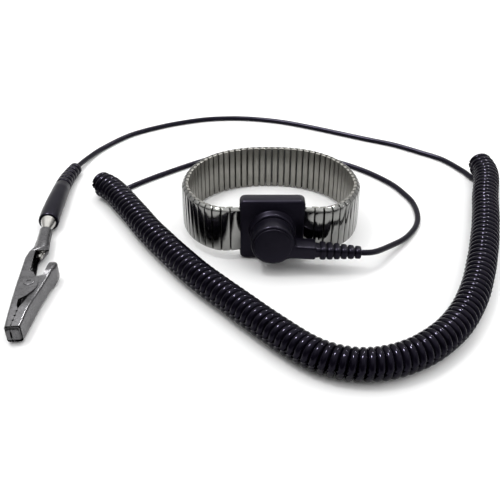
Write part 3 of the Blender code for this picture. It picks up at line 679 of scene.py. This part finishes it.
def build_connector_lid():
    """The disc that closes the head, with a small round mark left by its mould."""
    along = stem_line()[1]
    axis = at(0, 0, STUD_HEIGHT)
    lid = Shape()
    front = -HEAD_FRONT
    profile = [(front - 0.9, 0.0), (front - 0.9, 6.8), (front - 0.28, 6.8), (front - 0.1, 6.72),
               (front, 6.5), (front + 0.02, 6.2), (front - 0.02, 5.0), (front - 0.05, 3.0),
               (front - 0.06, 0.0)]
    lid.lathe(profile, axis, -Y_AXIS, sides=72)
    spot = axis - along * 1.9
    mark = [(front - 0.2, 0.0), (front - 0.2, 0.75), (front - 0.03, 0.75), (front + 0.02, 0.62),
            (front, 0.45), (front - 0.03, 0.0)]
    lid.lathe(mark, spot, -Y_AXIS, sides=24)
    obj = tilted(lid).make("connector_lid", [CONNECTOR_BLACK], sharp=40.0)
    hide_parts("connector_cap")
    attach(obj, "snap_connector")


# ---- cord ----

COIL_PATH = (
    (-71.2, 25.3), (-67.9, 22.9), (-64.5, 18.6), (-60.8, 12.6), (-53.2, 0.2), (-44.9, -13.6), (-28.1, -36.9),
    (-13.1, -54.0), (-0.8, -67.4), (10.4, -78.2), (18.6, -82.3), (27.6, -83.5), (37.0, -81.3),
    (46.6, -76.1), (58.0, -65.3), (68.2, -48.6), (77.3, -26.0), (84.6, -3.4), (89.7, 15.5),
    (93.0, 25.5), (95.1, 33.4), (95.9, 38.9), (95.2, 42.8),
)
SNAP_LEAD_PATH = (
    (38.0, -26.2, 6.4), (44.5, -19.2, 4.0), (52.0, -11.0, 2.0), (58.0, -1.5, 1.15),
    (60.5, 7.0, 1.1), (60.5, 17.0, 1.1), (58.0, 25.0, 1.1), (54.0, 33.3, 1.1), (46.0, 43.0, 1.1),
    (37.5, 50.3, 1.1), (29.0, 55.5, 1.1), (17.0, 60.5, 1.1), (3.0, 63.5, 1.1), (-11.0, 63.0, 1.1),
    (-24.0, 58.5, 1.1), (-35.0, 51.5, 1.1), (-45.5, 43.5, 1.1), (-52.7, 37.6, 1.1),
    (-59.2, 31.6, 1.1), (-62.3, 28.0, 1.2), (-63.5, 26.2, 1.35),
)
PLUG_LEAD_PATH = (
    (90.3, 39.7, 1.3), (89.5, 43.0, 1.2), (87.6, 47.0, 1.1), (84.6, 52.4, 1.1), (80.8, 57.4, 1.1),
    (73.0, 63.5, 1.1),
    (62.0, 71.5, 1.1), (50.0, 77.5, 1.1), (36.5, 84.5, 1.1), (22.0, 92.0, 1.1), (7.0, 98.5, 1.1),
    (-10.5, 102.3, 1.1), (-26.5, 102.0, 1.1), (-39.5, 98.6, 1.1), (-53.5, 92.3, 1.1),
    (-68.0, 82.3, 1.1), (-79.0, 67.6, 1.2), (-83.6, 56.5, 1.9), (-85.8, 48.6, 2.6),
    (-86.75, 44.0, 2.98), (-87.5, 39.5, 3.2),
)


def coil_pitch(part):
    """The turns lie a little closer together in the middle of the coil than at its ends."""
    marks = ((0.0, 2.8), (0.2, 2.75), (0.38, 2.5), (0.6, 2.54), (0.75, 2.8), (1.0, 2.9))
    return between_marks(marks, part)


def coil_axis():
    """The coil's centre line, reaching a little past its last bends."""
    points = [at(x, y, COIL_HEIGHT) for x, y in COIL_PATH]
    points[0] += (points[0] - points[1]).normalized() * 2.4
    points[-1] += (points[-1] - points[-2]).normalized() * 3.0
    axis = smooth_path(points, 1.0)
    axis = relaxed(even_path(axis, 2.0), 5)
    return even_path(axis, 0.4)


def build_coil():
    """One wire wound along the coil's centre line, drawn in over its first and last turns."""
    axis = coil_axis()
    lengths = path_lengths(axis)
    headings = directions_of(axis)
    total = lengths[-1]
    per_turn = 24
    mean = COIL_RADIUS - WIRE_RADIUS
    wire = []
    want = WIRE_RADIUS
    j = 1
    i = 0
    while want < total - WIRE_RADIUS:
        while j < len(lengths) - 1 and lengths[j] < want:
            j += 1
        part = (want - lengths[j - 1]) / (lengths[j] - lengths[j - 1])
        point = axis[j - 1].lerp(axis[j], part)
        side, up = frame_of(headings[j - 1].lerp(headings[j], part))
        angle = 2 * math.pi * i / per_turn
        near = min(want, total - want) - WIRE_RADIUS
        close = math.sqrt(max(0.0, 1 - max(0.0, 1 - near / 1.5) ** 2)) * 0.3 + 0.7
        reach = (mean + 0.03 * math.sin(want * 0.37) + 0.03 * math.sin(want * 0.11 + 1.0)) * close
        wire.append(point + side * (reach * math.cos(angle)) + up * (mean * close * math.sin(angle)))
        want += coil_pitch(want / total) / per_turn * (1 + 0.03 * math.sin(want * 0.23))
        i += 1
    shape = Shape()
    shape.tube(wire, WIRE_RADIUS, sides=14)
    obj = shape.make("coil_turns", [CORD_BLACK], sharp=60.0)
    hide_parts("coiled_cord")
    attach(obj, "wristband_base")


def build_snap_lead():
    """The lead from the connector to the coil, in two pieces."""
    base, along, up = stem_line()
    start = [TILT @ (base + along * d) for d in (STEM_END - 7.0, STEM_END - 1.0, STEM_END + 1.5)]
    inside = [at(-64.8, 24.0, 2.3), at(-66.0, 21.4, 3.6)]
    path = even_path(smooth_path(start + [at(*p) for p in SNAP_LEAD_PATH] + inside, 2.0), 2.0)
    turn = max(range(len(path)), key=lambda i: path[i].x)
    far = path[turn].x
    for name, points, a, b, first, last in (
            ("snap_lead_near", path[:turn + 1], "snap_socket", "snap_connector", far - 1.0, STEM_END + 2.0),
            ("snap_lead_far", path[turn:], "wristband_base", "snap_socket", -30.0, far - 14.0)):
        shape = Shape()
        shape.tube(points, LEAD_RADIUS, sides=16)
        obj = shape.make(name, [LEAD_BLACK])
        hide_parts("snap_lead")
        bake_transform(obj)


def build_plug_lead():
    """The lead from the coil to the plug's boot."""
    inside = [at(93.4, 33.4, 3.6), at(91.7, 36.6, 2.2)]
    path = even_path(smooth_path(inside + [at(*p) for p in PLUG_LEAD_PATH], 2.0), 2.0)
    shape = Shape()
    shape.tube(path, LEAD_RADIUS, sides=16)
    obj = shape.make("plug_lead_wire", [LEAD_BLACK])
    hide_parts("plug_lead")
    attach(obj, "wristband_base")


# ---- banana plug ----


BOOT_LENGTH = 47.3


def boot_bend(back):
    """How far to the side the boot's centre line runs, this far back from its mouth."""
    marks = ((0.0, 0.0), (6.5, -0.5), (15.5, -0.6), (24.0, -0.85), (32.0, -0.9), (36.0, -0.7),
             (42.0, 0.0), (BOOT_LENGTH, 0.95))
    return between_marks(marks, back)


def boot_stations():
    """Cross-sections from the boot's mouth to its end: (distance back, height, radius)."""
    stations = [(0.35, 4.3, 3.35), (0.0, 4.3, 3.7), (0.25, 4.3, 3.88), (0.8, 4.3, 3.92), (6.5, 4.3, 3.85),
                (15.5, 4.3, 3.7), (20.0, 4.2, 3.55), (24.0, 4.05, 3.42), (28.6, 3.88, 3.3)]
    ribs = 6
    pitch = 3.05
    for i in range(ribs):
        start = 28.9 + i * pitch
        height = 3.85 - 0.15 * i
        radius = 3.28 - 0.1 * i
        # The valley before a rib, then the rib: (distance back, drop of its middle, change of radius)
        profile = ((0.0, 0.0, -0.42), (0.45, 0.0, -0.45), (0.6, 0.0, -0.1), (0.85, 0.0, 0.02),
                   (1.9, 0.08, 0.04), (2.75, 0.12, -0.04), (2.95, 0.14, -0.2))
        stations += [(start + back, height - drop, radius + change) for back, drop, change in profile]
    stations += [(47.25, 2.97, 2.5), (47.4, 2.96, 2.2), (47.4, 2.96, 1.2)]
    return stations


def build_boot():
    """The moulded sleeve over the plug, with a tapered row of ribs."""
    look = 2.0
    drop = -0.03
    rings = []
    for back, z, radius in boot_stations():
        point = at(PLUG_MOUTH[0] + boot_bend(back), PLUG_MOUTH[1] + back, z)
        first = max(back - look, 0.0)
        last = min(back + look, BOOT_LENGTH)
        slope = (boot_bend(last) - boot_bend(first)) / (last - first)
        rings.append(ring_round(point, Vector((slope, 1.0, drop)), radius, 32))
    shape = Shape()
    shape.loft(rings)
    obj = shape.make("boot_sleeve", [LEAD_BLACK], sharp=60.0)
    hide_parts("plug_boot")
    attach(obj, "wristband_base")


# ---- alligator clip ----

SHEET = 0.5
BARREL_BORE = 2.08
TEETH = 4
TEETH_START = 58.8
TEETH_PITCH = 2.15
TOOTH_DEPTH = 0.35
TAPER_START = 57.6


def clip_frame():
    """The boot's mouth, the plug's direction and the direction across the clip."""
    along = Vector(PLUG_DIRECTION).normalized()
    return at(*PLUG_MOUTH), along, Vector((-along.y, along.x, 0.0))


def on_clip(u, v, w):
    """A point by its distance from the boot's mouth, across the clip and upward."""
    mouth, along, across = clip_frame()
    return mouth + along * u + across * v + Z_AXIS * w


def channel_ring(station, facing):
    """A folded sheet's section: (distance, free edge, back, half height, corner of the fold)."""
    u, edge, back, half, corner = station
    outer = [(edge, half)]
    inner = [(edge, half - SHEET)]
    for k in range(7):
        angle = math.pi / 2 * (1 - k / 6)
        outer.append((back - facing * corner * (1 - math.cos(angle)), half - corner * (1 - math.sin(angle))))
        small = max(corner - SHEET, 0.05)
        wall = back - facing * SHEET
        inner_v = wall - facing * small * (1 - math.cos(angle))
        inner.append((inner_v, half - SHEET - small * (1 - math.sin(angle))))
    outer += [(v, -w) for v, w in reversed(outer)]
    inner += [(v, -w) for v, w in reversed(inner)]
    return [on_clip(u, v, w) for v, w in outer + list(reversed(inner))]


def barrel_ring(u, radius):
    """The rolled barrel's section, open along a narrow slit."""
    outer = []
    inner = []
    for k in range(16):
        angle = math.radians(8 + 344 * k / 15)
        v, w = math.cos(angle), math.sin(angle)
        outer.append((radius * v, radius * w))
        inner.append((BARREL_BORE * v, BARREL_BORE * w))
    return [on_clip(u, v, w) for v, w in outer + list(reversed(inner))]


def teeth_stations(edge, back, back_taper, facing):
    """The toothed, tapering stretch of a jaw, whose edge is notched towards its back."""
    stations = []
    for i in range(TEETH):
        middle = TEETH_START + TEETH_PITCH * i
        for u, notch in ((middle - 0.45, 0.0), (middle, TOOTH_DEPTH), (middle + 0.45, 0.0)):
            past = u - TAPER_START
            stations.append((u, edge - past * 0.12 + facing * notch, back - past * back_taper,
                             3.8 - past * 0.06, 0.9))
    return stations


def tip_plate(low, high):
    """The end of a jaw, bent over to close its channel, from one side across to the other."""
    start = 65.1
    rings = []
    for u, half in ((start, 2.6), (65.5, 2.6), (65.95, 2.2), (66.25, 1.6)):
        pull = (u - start) * 0.15
        sides = ((low + pull, -half), (high - pull, -half), (high - pull, half), (low + pull, half))
        rings.append([on_clip(u, v, w) for v, w in sides])
    return rings


def build_fixed_jaw():
    """The jaw that is folded in one with the barrel."""
    stations = [
        (24.0, -0.9, -3.4, 3.3, 1.2), (29.0, -0.9, -3.9, 3.8, 0.9), (37.4, -0.8, -4.0, 3.9, 0.9),
        (38.4, 0.8, -4.05, 3.9, 0.9), (40.0, 1.4, -4.1, 3.9, 0.9), (41.6, 2.4, -4.15, 3.9, 0.9),
        (42.6, 2.9, -4.2, 3.9, 0.9), (43.7, 3.1, -4.2, 3.9, 0.9), (45.0, 3.15, -4.2, 3.9, 0.9),
        (46.2, 3.0, -4.25, 3.9, 0.9), (47.4, 2.7, -4.25, 3.9, 0.9), (48.6, 2.1, -4.25, 3.9, 0.9),
        (51.4, 0.1, -4.3, 3.9, 0.9), (53.0, -2.0, -4.3, 3.9, 0.9), (56.2, -1.9, -4.3, 3.85, 0.9),
        (57.6, -1.35, -4.3, 3.8, 0.9),
    ]
    stations += teeth_stations(-1.35, -4.35, 0.0, -1)
    stations += [(64.6, -2.4, -4.35, 3.2, 0.9), (65.4, -2.5, -4.25, 2.9, 0.9), (65.9, -2.6, -4.0, 2.4, 0.7),
                 (66.2, -2.7, -3.7, 1.7, 0.5)]
    rings = [barrel_ring(u, radius) for u, radius in ((7.0, 2.45), (14.0, 2.5), (20.0, 2.9))]
    rings += [channel_ring(station, -1) for station in stations]
    shape = Shape()
    shape.loft(rings)
    shape.loft(tip_plate(-4.2, -2.68))
    obj = shape.make("clip_jaw_fixed", [CLIP_STEEL], sharp=30.0)
    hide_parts("clip_lower_jaw")
    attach(obj, "clip")


def build_lever_jaw():
    """The jaw with the thumb lever, folded the other way and held inside the fixed one."""
    stations = [
        (31.2, 6.3, 7.0, 1.9, 0.3), (31.35, 6.0, 7.4, 2.4, 0.6), (31.8, 5.65, 7.8, 3.0, 0.9),
        (32.6, 5.35, 8.05, 3.5, 1.4), (33.8, 5.1, 8.1, 3.8, 1.7), (35.4, 4.85, 7.7, 3.9, 1.6),
        (36.8, 4.6, 7.15, 3.9, 1.2), (38.0, 4.4, 6.7, 3.9, 0.9),
        (39.3, 4.1, 6.3, 3.3, 0.9), (40.4, 0.6, 6.0, 3.3, 0.9), (41.6, -1.7, 5.7, 3.3, 0.9),
        (45.4, -1.9, 4.8, 3.3, 0.9), (48.0, -0.8, 4.1, 3.3, 0.9), (51.0, 0.7, 3.4, 3.3, 0.9),
        (52.6, 0.6, 3.0, 3.6, 0.9), (56.2, -0.6, 2.3, 3.85, 0.9), (57.6, -1.2, 2.0, 3.8, 0.9),
    ]
    stations += teeth_stations(-1.2, 2.0, 0.155, 1)
    stations += [(64.6, -2.25, 0.75, 3.2, 0.9), (65.4, -2.35, 0.5, 2.9, 0.9), (65.9, -2.45, 0.2, 2.4, 0.7),
                 (66.2, -2.5, -0.2, 1.7, 0.5)]
    shape = Shape()
    shape.loft([channel_ring(station, 1) for station in stations])
    shape.loft(tip_plate(-2.42, 0.25))
    obj = shape.make("clip_jaw_lever", [CLIP_STEEL], sharp=30.0)
    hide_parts("clip_upper_jaw")
    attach(obj, "clip_jaw")


def build_rivet():
    """The hinge rivet through both jaws, dished in the middle of its upper head."""
    rivet = Shape()
    profile = [(-4.3, 0.0), (-4.3, 1.5), (-4.15, 1.9), (-3.9, 1.95), (3.9, 1.95), (4.1, 1.93),
               (4.18, 1.8), (4.18, 0.85), (4.1, 0.75), (3.1, 0.65), (3.0, 0.0)]
    rivet.lathe(profile, on_clip(RIVET_AT, 0.0, 0.0), Z_AXIS, sides=32)
    obj = rivet.make("clip_rivet_head", [CLIP_STEEL], sharp=30.0)
    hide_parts("clip_rivet")
    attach(obj, "clip")


# ---- CAD nodes that stay, with finished materials ----


def finish_cad_nodes():
    """Gives every CAD node that stays in view or inside its finished material."""
    finishes = {
        "anchor_plate": BAR_STEEL, "contact_plate": BAR_STEEL, "snap_stud": NICKEL, "snap_socket": NICKEL,
        "socket_spring": NICKEL, "resistor_body": ENAMEL, "resistor_lead_inner": NICKEL,
        "resistor_lead_outer": NICKEL, "crimp_sleeve": BRASS, "plug_body": NICKEL,
        "plug_cage_spring": NICKEL, "clip_spring": NICKEL,
    }
    for name, made in finishes.items():
        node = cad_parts[name]
        node.data.materials.clear()
        node.data.materials.append(made)
        node.data.polygons.foreach_set("use_smooth", [True] * len(node.data.polygons))
        node.data.set_sharp_from_angle(angle=math.radians(35))


# ---- stage ----


LAMPS = (
    # name, direction, distance, size, power, whether it lights matt surfaces
    ("main", (-0.34, -0.02, 0.94), 0.8, 0.12, 1.1, True),
    ("back", (0.33, 0.5, 0.8), 0.9, 0.1, 0.4, True),
    ("right", (0.87, 0.1, 0.48), 0.9, 0.1, 0.2, True),
    ("glint", (-0.3, 0.05, 0.95), 0.8, 0.06, 15.0, False),
    ("glint_back", (0.3, 0.5, 0.8), 0.9, 0.05, 4.0, False),
)


def build_floor():
    """A plain pale floor."""
    size = 3.0
    mesh = bpy.data.meshes.new("floor")
    corners = [(-size, -size, 0), (size, -size, 0), (size, size, 0), (-size, size, 0)]
    mesh.from_pydata(corners, [], [(0, 1, 2, 3)])
    floor = bpy.data.objects.new("floor", mesh)
    bpy.context.scene.collection.objects.link(floor)
    made, nodes, links, shader = shader_of("floor_white")
    shader.inputs["Base Color"].default_value = (0.93, 0.93, 0.93, 1.0)
    shader.inputs["Roughness"].default_value = 0.8
    shader.inputs["Specular IOR Level"].default_value = 0.1
    mesh.materials.append(made)


def build_lamps():
    """Small area lamps aimed at the middle of the object."""
    for name, direction, distance, size, power, matt in LAMPS:
        light = bpy.data.lights.new(name, "AREA")
        light.shape = "DISK"
        light.size = size
        light.energy = power
        obj = bpy.data.objects.new(name, light)
        obj.visible_diffuse = matt
        obj.location = Vector(direction).normalized() * distance
        obj.rotation_euler = (-obj.location).to_track_quat("-Z", "Y").to_euler()
        bpy.context.scene.collection.objects.link(obj)
    bpy.context.scene.view_settings.view_transform = "Standard"


def build_world():
    """A studio that is bright overhead, grey at the sides and dark low down in front."""
    world = bpy.data.worlds.new("studio")
    world.use_nodes = True
    nodes = world.node_tree.nodes
    links = world.node_tree.links
    background = nodes["Background"]
    background.inputs["Color"].default_value = (1.0, 1.0, 1.0, 1.0)
    place = nodes.new("ShaderNodeTexCoord")
    split = nodes.new("ShaderNodeSeparateXYZ")
    links.new(place.outputs["Generated"], split.inputs["Vector"])
    facing = nodes.new("ShaderNodeVectorMath")
    facing.operation = "DOT_PRODUCT"
    facing.inputs[1].default_value = (-0.5, -0.866, 0.0)
    links.new(place.outputs["Generated"], facing.inputs[0])
    walls = ramp_of(nodes, links, facing.outputs["Value"], 0.8, 0.05, 0.2, 0.42)
    high = ramp_of(nodes, links, split.outputs["Z"], 0.0, 1.1, 0.5, 0.8)
    added = nodes.new("ShaderNodeMath")
    added.operation = "ADD"
    links.new(walls, added.inputs[0])
    links.new(high, added.inputs[1])
    links.new(added.outputs[0], background.inputs["Strength"])
    bpy.context.scene.world = world


def build_camera():
    """A camera in front of the wristband and above it, looking down."""
    camera = bpy.data.cameras.new("camera")
    camera.sensor_width = 36.0
    camera.lens = 49.36
    camera.clip_start = 0.01
    obj = bpy.data.objects.new("camera", camera)
    obj.location = (-0.0081, -0.2348, 0.15045)
    obj.rotation_euler = (math.radians(55.0), 0.0, 0.0)
    bpy.context.scene.collection.objects.link(obj)
    bpy.context.scene.camera = obj


build_band()
build_housing()
build_connector_shell()
build_connector_lid()
build_coil()
build_snap_lead()
build_plug_lead()
build_boot()
build_fixed_jaw()
build_lever_jaw()
build_rivet()
finish_cad_nodes()
build_floor()
build_lamps()
build_world()
build_camera()
